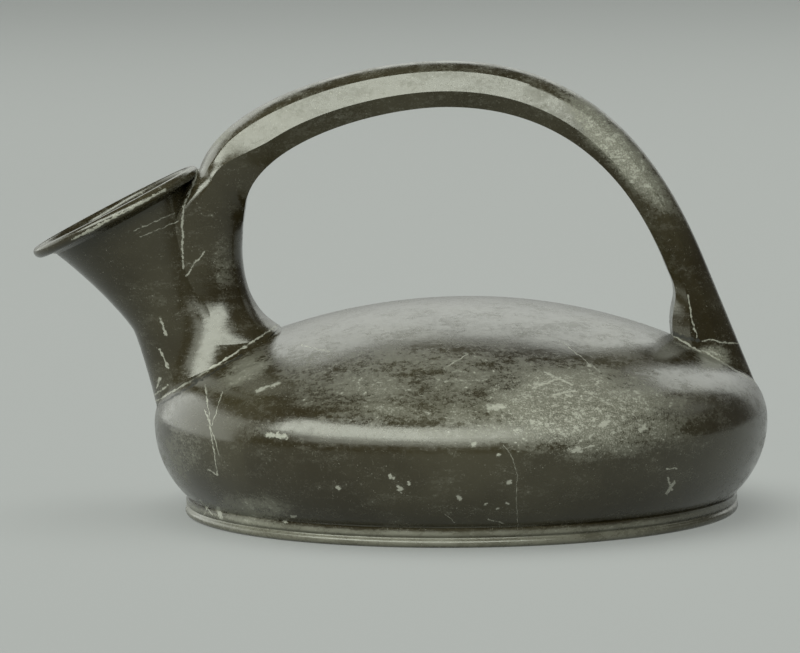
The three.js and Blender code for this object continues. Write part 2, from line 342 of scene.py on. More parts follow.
class Spout:
    """The trumpet spout with its rolled lip."""

    def __init__(self, size: SpoutSize) -> None:
        self.size = size

    def radius(self, depth: Points) -> Points:
        """Outside radius of the trumpet, without its lip.

        Args:
            depth: Depths down the axis.

        Returns:
            The radius at each depth.
        """
        s = self.size
        depth = np.asarray(depth, float)
        flare = np.clip((s.neck_depth - depth) / s.neck_depth, 0.0, 1.0)
        base = np.clip((depth - s.neck_depth) / (s.base_depth - s.neck_depth), 0.0, None)
        return (
            s.neck_radius
            + (s.flare_radius - s.neck_radius) * flare**s.flare_curve
            + (s.base_radius - s.neck_radius) * base**s.base_curve
        )

    def place(self, points: Points) -> Points:
        """Moves points from the spout's own axis to its place on the jug.

        Args:
            points: Points with z up the spout's axis and the mouth at z = 0.

        Returns:
            The points around the wheel axis. The mouth is dipped to its own tilt.
        """
        s = self.size
        x, y, z = points[..., 0], points[..., 1], points[..., 2]
        base = np.clip((-z - s.neck_depth) / (s.base_depth - s.neck_depth), 0.0, 1.0)
        side = s.neck_radius + (s.side_radius - s.neck_radius) * base**s.side_curve
        y = y * side / (s.neck_radius + (s.base_radius - s.neck_radius) * base**s.base_curve)
        share = 1.0 - smooth(-z, 0.0, s.neck_depth)
        z = z - x * math.tan(s.lean - s.mouth_tilt) * share
        sin, cos = math.sin(s.lean), math.cos(s.lean)
        return np.stack([x * cos - z * sin - s.reach, y, x * sin + z * cos + s.mouth_height], -1)

    def middle_point(self, depth: float, across: float) -> Points:
        """A point of the spout in the jug's middle plane.

        Args:
            depth: Depth down the axis.
            across: Distance from the axis, towards the handle.

        Returns:
            The point's (x, z).
        """
        return self.place(np.array([across, 0.0, -depth]))[[0, 2]]

    def skin(self) -> Skin:
        """The outside of the spout.

        Returns:
            A closed skin that runs on into the body.
        """
        s = self.size
        lip = s.lip / 2.0
        depth = np.linspace(s.base_depth, lip * s.bead_overlap, s.trumpet_count)
        trumpet = np.stack([self.radius(depth), -depth], 1)
        bead = arc((s.mouth_radius - lip, 0.0), lip, s.bead_start, 0.5 * math.pi, s.bead_count)
        top = np.array([[s.mouth_radius - s.lip, lip], [0.0, lip]])
        deep = -s.base_depth - s.run_on
        foot = np.array([[0.0, deep], [s.base_radius - s.end_inset, deep]])
        return Skin(self.place(turned(np.concatenate([foot, trumpet, bead, top]), s.skin_columns)))

    def bore(self, body: BodySize) -> Skin:
        """The channel from the body's hollow out through the mouth.

        Args:
            body: Sizes of the body that it opens into.

        Returns:
            A closed skin.
        """
        s = self.size
        lip = s.lip / 2.0
        low_count, high_count, rounding_count = s.bore_counts
        shoulder_depth = s.base_depth - s.wall
        low = np.linspace(shoulder_depth, s.neck_depth, low_count)
        share = smooth((shoulder_depth - low) / (shoulder_depth - s.neck_depth), 0.0, 1.0)
        neck = s.neck_radius - s.wall
        lower = np.stack([s.hole_radius + (neck - s.hole_radius) * share, -low], 1)
        high = np.linspace(s.neck_depth, lip, high_count)[1:]
        upper = np.stack([self.radius(high) - s.wall, -high], 1)
        edge = s.mouth_radius - s.lip
        rounding = arc((edge + lip, 0.0), lip, math.pi, 0.5 * math.pi, rounding_count)[:-2]
        rounding = rounding[rounding[:, 0] > upper[-1, 0]]
        deep = -s.base_depth - s.lead * body.wall
        lead = np.array([[0.0, deep], [s.hole_radius, deep]])
        out = lip + s.run_on
        end = np.array([[rounding[-1, 0], out], [0.0, out]])
        profile = np.concatenate([lead, lower, upper, rounding, end])
        return Skin(self.place(turned(profile, s.bore_columns)))


@dataclass(frozen=True)
class HandleSize:
    """Sizes of the strap handle. Reaches run from the wheel axis towards the foot of the handle.

    Pulls are the steps from the ends of a curve to its middle controls. An arch half holds its
    degrees at the low end and its pulls there and at the crown. The arris is the side edge.
    """

    crown_height: float = 85.4
    crown_offset: float = 2.6
    crown_thickness: float = 8.55
    knee_reach: float = 47.3
    knee_height: float = 45.2
    knee_thickness: float = 7.8
    rim_gap: float = 0.4
    root_inset: float = 8.6
    root_drop: float = 7.6
    heel_width: float = 23.2
    tongue_width: float = 16.8
    crown_width: float = 12.2
    knee_width: float = 11.6
    foot_width: float = 14.4
    foot_inner_reach: float = 40.7
    foot_outer_inset: float = 0.9
    foot_sink: float = 1.0
    inner_face: float = 0.72
    heel_arris: float = 0.97
    root_arris: float = 0.72
    crown_arris: float = 0.36
    leg_arris: float = 0.22
    crown_facet: float = 0.79
    leg_facet: float = 0.60
    root_facet: float = 0.84
    facet_top: float = 0.80  # how far out the top of the side facet lies
    root_round: float = 0.35
    root_curve: float = 3.4
    flank_curve: float = 2.6
    flank_turn: float = math.radians(82.0)
    heel_pulls: tuple[Pair, Pair] = ((-7.8, 4.6), (-8.0, 10.0))  # inner and outer face
    root_pulls: tuple[Pair, Pair] = ((-1.2, -7.9), (-9.5, -7.5))
    knee_pull: Pair = (3.1, -6.4)
    foot_pull: Pair = (-2.1, 7.3)
    foot_inner_sink: float = 2.0
    leg_shares: Pair = (0.36, 0.72)
    left_arches: tuple[Triple, Triple] = ((85.6, 0.667, 0.33), (70.4, 0.67, 0.385))
    right_arches: tuple[Triple, Triple] = ((110.9, 0.577, 0.557), (111.3, 0.52, 0.597))
    counts: tuple[int, ...] = (44, 60, 64, 34)
    section_counts: tuple[int, ...] = (9, 19, 17, 13)  # facet, dome, flank and inner face


@dataclass
class Stretch:
    """A stretch of the strap: the controls of its inner and outer face, and how its section changes.

    A change holds the value at both ends and the shares of the stretch between which it changes.
    """

    inner: list
    outer: list
    width: Four
    arris: Four
    facet: Four
    round: Four = (0.0, 0.0, 0.0, 1.0)


class Handle:
    """The strap handle, swept along two chains of curves: its inner and its outer face."""

    def __init__(self, size: HandleSize, body: Body, spout: Spout) -> None:
        self.size = size
        self.body = body
        self.spout = spout

    @staticmethod
    def arch_half(end: Points, crown: Points, degrees: float, pull: float, crown_pull: float) -> list:
        """Controls of one half of an arch.

        Args:
            end: The low end.
            crown: The top of the arch.
            degrees: Angle from level at which it leaves the end.
            pull: Length of the pull there, as a share of the rise.
            crown_pull: Length of the pull at the crown, as a share of the span.

        Returns:
            Four control points, from the end to the crown.
        """
        lift, span = crown[1] - end[1], crown[0] - end[0]
        angle = math.radians(degrees)
        leaving = end + lift * pull * np.array([math.cos(angle), math.sin(angle)])
        return [end, leaving, np.array([crown[0] - span * crown_pull, crown[1]]), crown]

    def stretches(self) -> list[Stretch]:
        """The four stretches of the strap, from its low end on the spout to its foot.

        Returns:
            The low end, the left and the right half of the arch and the leg.
        """
        s, spout, body = self.size, self.spout, self.body
        crown_out = np.array([-s.crown_offset, s.crown_height])
        crown_in = crown_out - [0.0, s.crown_thickness]
        root_out = spout.middle_point(0.0, spout.size.mouth_radius + s.rim_gap)
        root_in = root_out + [s.root_inset, -s.root_drop]
        seam = spout.size.seam_depth
        heel_in = spout.middle_point(seam, float(spout.radius(seam)))
        heel_out = spout.middle_point(seam, 0.0)
        knee_out = np.array([s.knee_reach, s.knee_height])
        knee_in = knee_out - [s.knee_thickness, 0.0]
        foot_reach = body.size.radius - s.foot_outer_inset
        foot_out = np.array([foot_reach, self.top_of_body(foot_reach) - s.foot_sink])
        foot_in = np.array([s.foot_inner_reach, self.top_of_body(s.foot_inner_reach)])
        foot_end = foot_in - [0.0, s.foot_inner_sink]
        leg = foot_out - knee_out
        return [
            Stretch(
                [heel_in, heel_in + s.heel_pulls[0], root_in + s.root_pulls[0], root_in],
                [heel_out, heel_out + s.heel_pulls[1], root_out + s.root_pulls[1], root_out],
                width=(s.heel_width, s.tongue_width, 0.0, 0.36),
                arris=(s.heel_arris, s.root_arris, 0.55, 1.0),
                facet=(s.root_facet, s.root_facet, 0.0, 1.0),
                round=(1.0, s.root_round, 0.72, 1.0),
            ),
            Stretch(
                self.arch_half(root_in, crown_in, *s.left_arches[0]),
                self.arch_half(root_out, crown_out, *s.left_arches[1]),
                width=(s.tongue_width, s.crown_width, 0.0, 0.75),
                arris=(s.root_arris, s.crown_arris, 0.0, 0.34),
                facet=(s.root_facet, s.crown_facet, 0.0, 0.50),
                round=(s.root_round, 0.0, 0.0, 0.10),
            ),
            Stretch(
                self.arch_half(knee_in, crown_in, *s.right_arches[0])[::-1],
                self.arch_half(knee_out, crown_out, *s.right_arches[1])[::-1],
                width=(s.crown_width, s.knee_width, 0.0, 1.0),
                arris=(s.crown_arris, s.leg_arris, 0.0, 1.0),
                facet=(s.crown_facet, s.leg_facet, 0.0, 1.0),
            ),
            Stretch(
                [knee_in, knee_in + s.knee_pull, foot_in + s.foot_pull, foot_end],
                [knee_out, *(knee_out + share * leg for share in s.leg_shares), foot_out],
                width=(s.knee_width, s.foot_width, 0.0, 1.0),
                arris=(s.leg_arris, s.leg_arris, 0.0, 1.0),
                facet=(s.leg_facet, s.leg_facet, 0.0, 1.0),
            ),
        ]

    def top_of_body(self, reach: float) -> float:
        """Height of the body's outside at a distance from the wheel axis.

        Args:
            reach: The distance.

        Returns:
            The height on the dome or the shoulder.
        """
        body = self.body
        seam = body.shoulder[0] + body.size.shoulder_radius * math.cos(body.shoulder_end)
        if reach < seam:
            return body.dome_height + math.sqrt(body.dome_radius**2 - reach**2)
        past = min(reach - body.shoulder[0], body.size.shoulder_radius)
        return body.shoulder[1] + math.sqrt(body.size.shoulder_radius**2 - past**2)

    def section(self, arris: Points, facet: Points, roundness: Points) -> tuple[Points, Points]:
        """Section of the strap at each ring: a back, a leaning side facet and an inner part.

        Where the roundness is 0, a plane facet leans in from the side edge up to the facet's top,
        a low dome closes the back over it, and straight flanks run down to a flat inner face.
        Where it is 1, the back is a boxy dome and the inner part a quarter circle on each side.

        Args:
            arris: Height of the side edge at each ring, as a share of the thickness.
            facet: Height of the top of the side facet.
            roundness: 0 for the faceted section, 1 for the rounded one, at each ring.

        Returns:
            Shares of the half width and of the thickness, one row for each ring.
        """
        s = self.size
        facet_count, dome_count, flank_count, inner_count = s.section_counts
        arris, facet, roundness = (row[:, None] for row in (arris, facet, roundness))
        top = np.full_like(arris, s.facet_top)
        plane = np.linspace(0.0, 1.0, facet_count)[None, :]
        dome = np.sin(np.linspace(0.0, math.pi / 2, dome_count))[None, 1:] ** 2
        facet_across = np.concatenate([1.0 - (1.0 - top) * plane, top * np.sqrt(1.0 - dome)], 1)
        facet_up = np.concatenate([arris + (facet - arris) * plane, facet + (1.0 - facet) * dome], 1)
        turn = np.linspace(0.0, math.pi / 2, facet_up.shape[1])[None, :]
        rise = np.sin(turn) ** (2.0 / s.root_curve)
        round_across = np.sqrt(np.clip(1.0 - rise**s.root_curve, 0.0, 1.0))
        round_up = arris + (1.0 - arris) * rise
        half_across = (1.0 - roundness) * facet_across + roundness * round_across
        half_up = (1.0 - roundness) * facet_up + roundness * round_up
        side = np.linspace(0.0, 1.0, flank_count)[None, 1:]
        sunk = np.sin(side * s.flank_turn)
        flank = 1.0 - (1.0 - s.inner_face) * side
        quarter = (1.0 - sunk**s.flank_curve) ** (1.0 / s.flank_curve)
        reach = (1.0 - roundness) * flank + roundness * quarter
        drop = arris * ((1.0 - roundness) * (1.0 - side) + roundness * (1.0 - sunk))
        inner = np.linspace(1.0, -1.0, inner_count)[None, 1:-1]
        across = np.concatenate([
            half_across, -half_across[:, -2::-1], -reach, -reach[:, -1:] * inner, reach[:, ::-1],
        ], 1)
        up = np.concatenate([
            half_up, half_up[:, -2::-1], drop, drop[:, -1:] * inner**2, drop[:, ::-1],
        ], 1)
        return across, up

    def skin(self) -> Skin:
        """The outside of the handle.

        Returns:
            A closed skin whose ends lie inside the spout and the body.
        """
        inner, outer = [], []
        rows = {key: [] for key in ("width", "arris", "facet", "round")}
        for order, (part, count) in enumerate(zip(self.stretches(), self.size.counts)):
            keep = slice(0 if order == 0 else 1, None)
            share = np.linspace(0.0, 1.0, count)
            inner.append(bezier(part.inner, count)[keep])
            outer.append(bezier(part.outer, count)[keep])
            for key, row in rows.items():
                first, last, start, end = getattr(part, key)
                row.append((first + (last - first) * smooth(share, start, end))[keep])
        inner, outer = np.concatenate(inner)[:, None], np.concatenate(outer)[:, None]
        shares = {key: np.concatenate(row) for key, row in rows.items()}
        across, up = self.section(*(shares[key] for key in ("arris", "facet", "round")))
        plane = inner + (outer - inner) * up[..., None]
        side = across * shares["width"][:, None] / 2.0
        rings = np.stack([plane[..., 0], side, plane[..., 1]], -1)
        return Skin(rings[::-1])


class Jug:
    """The whole jug as one mesh with a hollow inside."""

    def __init__(self) -> None:
        self.body = Body(BodySize())
        self.spout = Spout(SpoutSize())
        self.handle = Handle(HandleSize(), self.body, self.spout)

    @staticmethod
    def combine(base: bpy.types.Object, other: bpy.types.Object, operation: str) -> None:
        """Adds a boolean modifier for another piece.

        Args:
            base: The piece that is changed.
            other: The piece that it is joined with or cut by.
            operation: UNION or DIFFERENCE.
        """
        modifier = base.modifiers.new(other.name, "BOOLEAN")
        modifier.operation = operation
        modifier.solver = "MANIFOLD"
        modifier.object = other

    def build(self) -> bpy.types.Object:
        """Joins the skins into one piece.

        Returns:
            The finished object, named spouted_jug_fine.
        """
        base = self.body.skin().to_object("jug_body")
        helpers = [
            (self.spout.skin().to_object("jug_spout"), "UNION"),
            (self.handle.skin().to_object("jug_handle"), "UNION"),
            (self.body.cavity().to_object("jug_cavity"), "DIFFERENCE"),
            (self.spout.bore(self.body.size).to_object("jug_bore"), "DIFFERENCE"),
        ]
        for helper, operation in helpers:
            self.combine(base, helper, operation)
        depsgraph = bpy.context.evaluated_depsgraph_get()
        mesh = bpy.data.meshes.new_from_object(base.evaluated_get(depsgraph))
        for piece in [base, *(helper for helper, _ in helpers)]:
            bpy.data.objects.remove(piece, do_unlink=True)
        mesh.name = "spouted_jug_fine"
        mesh.shade_smooth()
        mesh.set_sharp_from_angle(angle=SHARP_ANGLE)
        jug = bpy.data.objects.new("spouted_jug_fine", mesh)
        bpy.context.scene.collection.objects.link(jug)
        LOG.info("jug has %d faces", len(mesh.polygons))
        return jug


@dataclass(frozen=True)
class GlossFinish:
    """Colours and roughness of the black gloss and of the clay under it, and the colours of painted
    highlights, reflections and shade.
    """

    gloss: Triple = (0.0148, 0.0112, 0.0038)
    thin_gloss: Triple = (0.049, 0.044, 0.025)
    # the hazy colour, which some patches also use as painted highlights and reflections
    haze_and_highlight: Triple = (0.135, 0.134, 0.104)
    # the clay's colour, which some marks also use as painted highlights along ridges and edges
    clay_and_highlight: Triple = (0.34, 0.345, 0.29)
    # painted shade in a pit, a gap and a groove
    dark: Triple = (0.005, 0.005, 0.003)
    sheen_tint: Triple = (0.985, 1.0, 0.92)
    ior: float = 1.6
    smooth: float = 0.13
    rough: float = 0.30
    worn_rough: float = 0.55
    relief: float = 0.014


@dataclass(frozen=True)
class Grain:
    """A noise: features per millimetre, finer layers, their share, and how the place is squashed."""

    scale: float
    detail: float
    roughness: float
    squash: Triple = (1.0, 1.0, 1.0)


@dataclass(frozen=True)
class Layer:
    """A layer of wear that shows where a noise passes from low to high.

    The fields for the mask of wear and painted highlights and for the cloud say how much those two raise
    the noise, and more how much that mask adds to the amount; in some patches this paints highlights and
    reflections.
    """

    low: float
    high: float
    amount: float
    wear_and_highlights: float = 0.0
    cloud: float = 0.0
    more: float = 0.0


@dataclass(frozen=True)
class WearAndPaintedLightSize:
    """Where and how strongly wear shows on the jug, and how the painted highlights, reflections and
    shade of some patches and marks are laid on.

    A ramp holds where a change starts and ends, in millimetres or in levels of a noise, and its
    results there.
    """

    broad: Grain = Grain(0.045, 4.0, 0.55)
    cloud: Grain = Grain(0.13, 6.0, 0.68, (1.0, 1.0, 2.6))
    fine: Grain = Grain(1.0, 6.0, 0.72, (1.0, 1.0, 1.5))
    grit: Grain = Grain(3.4, 3.0, 0.7)
    rings: Grain = Grain(1.4, 3.0, 0.5, (0.02, 0.02, 1.0))
    flaking: Grain = Grain(0.95, 7.0, 0.80, (0.60, 0.60, 1.0))
    # in some patches this layer paints highlights and reflections
    haze_and_highlight: Layer = Layer(0.48, 0.70, 0.20, wear_and_highlights=0.20, more=0.82)
    specks: Layer = Layer(0.79, 0.84, 0.80, wear_and_highlights=0.09, cloud=0.22)
    flakes: Layer = Layer(0.775, 0.84, 0.62, wear_and_highlights=0.175, cloud=0.16)
    pinholes: Layer = Layer(0.84, 0.90, 0.50, cloud=0.35)
    dust: Layer = Layer(0.60, 0.76, 0.16, wear_and_highlights=0.10, more=0.32)
    veil: Pair = (0.55, 0.45)  # shares of the cloud and of the fine noise
    veil_range: Pair = (0.40, 0.62)
    near: Four = (-1.0, 4.0, 1.0, 0.0)
    crown: Four = (62.0, 80.0, 0.0, 0.26)
    back: Four = (0.0, 30.0, 0.0, 0.35)
    thin: Four = (0.38, 0.70, 0.0, 0.45)
    haze_grit: Four = (0.36, 0.62, 0.66, 1.20)
    foot_edge: Four = (3.5, 4.0, 1.0, 0.0)
    foot_patches: Four = (0.30, 0.62, 0.34, 0.72)
    foot_fade: Four = (42.0, 64.0, 1.0, 0.25)
    foot_ragged: float = 1.4
    foot_rough: float = 0.4
    wobble_scale: float = 0.9
    wobble_detail: float = 2.0
    wobble: Triple = (0.7, 0.7, 0.0)
    mark_edge: Four = (0.55, 1.15, 1.0, 0.0)
    mark_middle: float = 0.47
    mark_ragged: float = 5.5
    mark_start: float = 9.0  # least distance before the first stroke, in stroke widths
    light_marks: float = 0.64
    patch_edge: Four = (0.35, 1.0, 1.0, 0.0)


@dataclass(frozen=True)
class Patch:
    """A soft oval seen from the front where wear is laid on, and in some painted highlights and
    reflections: centre and half lengths in millimetres, and degrees.
    """

    centre: Pair
    size: Pair
    turn: float
    amount: float


WEAR_AND_HIGHLIGHT_PATCHES: tuple[Patch, ...] = (
    # the dome and the shoulder
    Patch((14.0, 22.0), (54.0, 12.0), -4.0, 0.62),
    Patch((33.0, 19.0), (31.0, 12.5), -6.0, 0.92),
    # a painted soft highlight on the handle's end down the neck of the spout, and wear at the foot of
    # the handle
    Patch((-33.6, 47.0), (3.2, 9.0), 0.0, 0.34),
    Patch((59.5, 28.5), (4.6, 3.6), 0.0, 0.85),
    # a painted reflection under the spout, and a painted highlight on the dome by the spout's seam
    Patch((-42.0, 11.0), (5.0, 9.0), 0.0, 0.45),
    Patch((-29.5, 27.0), (8.5, 3.6), 28.0, 0.72),
    # both flanks of the handle's arch: a painted highlight down the right flank, and wear on the left
    Patch((40.5, 69.0), (23.0, 4.4), -48.0, 1.0),
    Patch((-33.0, 75.5), (13.0, 4.6), 52.0, 0.80),
    # the belly over the foot
    Patch((-29.0, -0.5), (11.0, 4.5), -4.0, 0.62),
)


class Tone(Enum):
    """Whether a mark is light, where it bares the clay and on some ridges and edges paints a highlight,
    or dark, where it paints shade in a pit, a gap and a groove.
    """

    LIGHT = "light"
    DARK = "dark"


@dataclass(frozen=True)
class Mark:
    """A scratch, crack or chip, a painted highlight along a ridge or edge, or painted shade in a pit, a
    gap or a groove: x and y of each point in turn, seen from the front, in mm.
    """

    points: tuple[float, ...]
    width: float
    tone: Tone = Tone.LIGHT


SCARS_AND_PAINTED_LIGHT: tuple[Mark, ...] = (
    # scratches under the spout
    Mark((-37.3, 24.2, -36.2, 13.6, -35.1, 6.9), 0.12),
    Mark((-34.1, 22.8, -36.1, 16.5), 0.09),
    Mark((-37.4, 19.4, -34.7, 10.7), 0.09),
    Mark((-37.0, 7.9, -35.1, 6.9), 0.16),
    Mark((-27.5, 22.9, -23.3, 24.4), 0.40),
    # painted shade in a small pit
    Mark((-39.2, 25.2, -39.0, 25.2), 0.75, Tone.DARK),
    Mark((-38.6, 2.1, -36.3, -0.8), 0.14),
    Mark((-37.9, -0.8, -36.7, 1.5), 0.11),
    Mark((-46.9, 22.4, -44.4, 24.2), 0.19),
    Mark((-46.5, 23.7, -45.9, 25.6), 0.19),
    Mark((-45.7, 37.1, -44.6, 33.8), 0.26),
    Mark((-45.8, 31.0, -44.3, 27.5), 0.26),
    # chips and knocks on the belly and the shoulder
    Mark((-35.2, 0.4, -34.6, -1.4), 0.40),
    Mark((-22.6, -2.3, -22.4, -2.3), 0.35),
    Mark((-21.3, -1.3, -20.3, -1.3), 0.22),
    Mark((8.1, -1.2, 10.0, -2.6), 0.08),
    Mark((10.6, 2.4, 11.0, 1.8), 0.35),
    Mark((15.9, 0.8, 16.1, 0.8), 0.22),
    Mark((18.0, -0.2, 18.4, 0.0), 0.22),
    Mark((19.9, 1.0, 20.1, 0.8), 0.20),
    Mark((50.3, 2.4, 52.0, 4.9), 0.27),
    Mark((50.7, 5.5, 51.4, 3.2), 0.20),
    Mark((50.4, 7.2, 52.2, 7.4), 0.20),
    Mark((59.0, -3.4, 59.4, -3.4), 0.40),
    Mark((32.4, 10.9, 33.7, 11.2), 0.70),
    Mark((35.0, 11.4, 36.6, 11.8), 0.23),
    Mark((18.1, 10.2, 18.5, 10.2), 0.35),
    Mark((35.7, 27.3, 36.1, 27.3), 0.40),
    Mark((16.8, 19.2, 19.3, 19.6), 0.66),
    Mark((13.5, 12.2, 13.9, 12.4), 0.48),
    Mark((-1.0, 4.3, 0.1, 3.7), 0.48),
    Mark((1.1, 5.2, 1.3, 5.0), 0.40),
    Mark((-12.3, 4.4, -12.1, 4.2), 0.40),
    Mark((20.0, 4.8, 20.3, 5.0), 0.48),
    Mark((-2.3, 6.4, -1.8, 6.0), 0.40),
    Mark((38.1, 15.8, 39.3, 16.5), 0.62),
    Mark((45.4, 14.8, 46.3, 15.3), 0.53),
    # a painted highlight where the shoulder's bright band runs out in light specks
    Mark((-25.6, 14.4, -22.2, 14.2), 0.55),
    Mark((16.3, -2.1, 19.1, -2.9), 0.16),
    Mark((25.0, 23.0, 30.2, 24.9), 0.23),
    Mark((27.3, 26.0, 32.5, 23.5), 0.19),
    Mark((28.8, 21.6, 33.0, 22.5), 0.27),
    # scratches on the dome and the hairline crack down the belly
    Mark((8.3, 27.0, 12.7, 29.6), 0.09),
    Mark((30.2, 32.1, 37.8, 25.9), 0.08),
    Mark((-19.2, 31.7, -13.5, 30.3), 0.08),
    Mark((19.3, 12.1, 21.0, 9.6, 21.9, 6.3, 21.7, 1.5, 22.0, -4.2), 0.045),
    # the turned grooves under the rim, and a painted highlight along the edge of the rim, broken by wear
    Mark((-50.6, 53.7, -42.6, 57.0), 0.09),
    Mark((-49.3, 52.5, -42.0, 55.5), 0.08),
    Mark((-62.2, 52.1, -51.1, 57.9, -44.4, 61.4), 0.27),
    # the mended break at the foot of the handle, with painted shade in its gap
    Mark((51.9, 33.0, 56.6, 31.6), 0.37, Tone.DARK),
    Mark((51.1, 33.2, 57.1, 29.5), 0.20),
    Mark((57.3, 31.7, 58.8, 31.9, 61.2, 31.4, 64.8, 31.1), 0.19),
    Mark((57.3, 29.9, 67.5, 23.6), 0.16),
    # a painted highlight down the inner edge of the handle's leg
    Mark((54.6, 40.5, 55.3, 35.7, 56.3, 32.3), 0.15),
    # a painted highlight along the ridge where the handle's end was smoothed down on the neck
    Mark((-37.9, 66.1, -39.1, 62.3, -40.9, 58.5, -41.3, 54.7, -41.2, 46.6), 0.23),
    Mark((-40.7, 45.0, -38.7, 47.7, -37.0, 49.6), 0.17),
    # the seam between the spout and the body: a light line, and painted shade in its groove beneath
    Mark((-47.3, 20.8, -39.2, 25.5, -30.6, 30.8, -22.4, 36.1), 0.19),
    Mark((-47.0, 19.9, -39.0, 24.6, -30.2, 30.0), 0.23, Tone.DARK),
)


class Tree:
    """Short hand for building a node tree."""

    def __init__(self, tree: bpy.types.NodeTree) -> None:
        self.tree = tree

    def node(self, kind: str, inputs: dict | None = None, **settings) -> bpy.types.Node:
        """Adds a node.

        Args:
            kind: Type name of the node.
            inputs: Values or sockets for its inputs, by name or by number.
            settings: Properties of the node.

        Returns:
            The new node.
        """
        made = self.tree.nodes.new(kind)
        for name, value in settings.items():
            setattr(made, name, value)
        for key, value in (inputs or {}).items():
            self.put(made.inputs[key], value)
        return made

    def put(self, socket: bpy.types.NodeSocket, value) -> None:
        """Links or sets a socket.

        Args:
            socket: The input.
            value: Another node's output, or a plain value.
        """
        if isinstance(value, bpy.types.NodeSocket):
            self.tree.links.new(value, socket)
        elif socket.type == "RGBA" and len(value) == 3:
            socket.default_value = (*value, 1.0)
        else:
            socket.default_value = value

    def math(self, operation: str, first, second) -> bpy.types.NodeSocket:
        """A math node.

        Args:
            operation: What it does.
            first: Its first input.
            second: Its second input.

        Returns:
            Its result.
        """
        return self.node("ShaderNodeMath", {0: first, 1: second}, operation=operation).outputs[0]

    plus = partialmethod(math, "ADD")
    less = partialmethod(math, "SUBTRACT")
    times = partialmethod(math, "MULTIPLY")
    most = partialmethod(math, "MAXIMUM")

    def vector(self, operation: str, *values) -> bpy.types.NodeSocket:
        """A vector math node.

        Args:
            operation: What it does.
            values: Its inputs, in order.

        Returns:
            Its vector result, or its number for LENGTH.
        """
        made = self.node("ShaderNodeVectorMath", dict(enumerate(values)), operation=operation)
        return made.outputs["Value" if operation == "LENGTH" else "Vector"]

    def ramp(self, value, low: float, high: float, start: float = 0.0, end: float = 1.0):
        """Maps a range smoothly to another.

        Args:
            value: The number.
            low: Where the change starts.
            high: Where it ends.
            start: Result at low.
            end: Result at high.

        Returns:
            The mapped number.
        """
        made = self.node(
            "ShaderNodeMapRange",
            {"Value": value, "From Min": low, "From Max": high, "To Min": start, "To Max": end},
            interpolation_type="SMOOTHSTEP",
        )
        return made.outputs[0]

    def noise(self, place, grain: Grain):
        """A noise.

        Args:
            place: Where it is read, in millimetres.
            grain: Its scale and layers.

        Returns:
            The noise node's number.
        """
        squashed = self.vector("MULTIPLY", place, grain.squash)
        inputs = dict(Vector=squashed, Scale=grain.scale, Detail=grain.detail, Roughness=grain.roughness)
        return self.node("ShaderNodeTexNoise", inputs).outputs[0]

    def mix(self, factor, first, second):
        """Mixes two colours.

        Args:
            factor: 0 for the first, 1 for the second.
            first: The first colour.
            second: The second colour.

        Returns:
            The mixed colour.
        """
        made = self.node("ShaderNodeMix", data_type="RGBA")
        self.put(made.inputs[0], factor)
        self.put(made.inputs[6], first)
        self.put(made.inputs[7], second)
        return made.outputs[2]


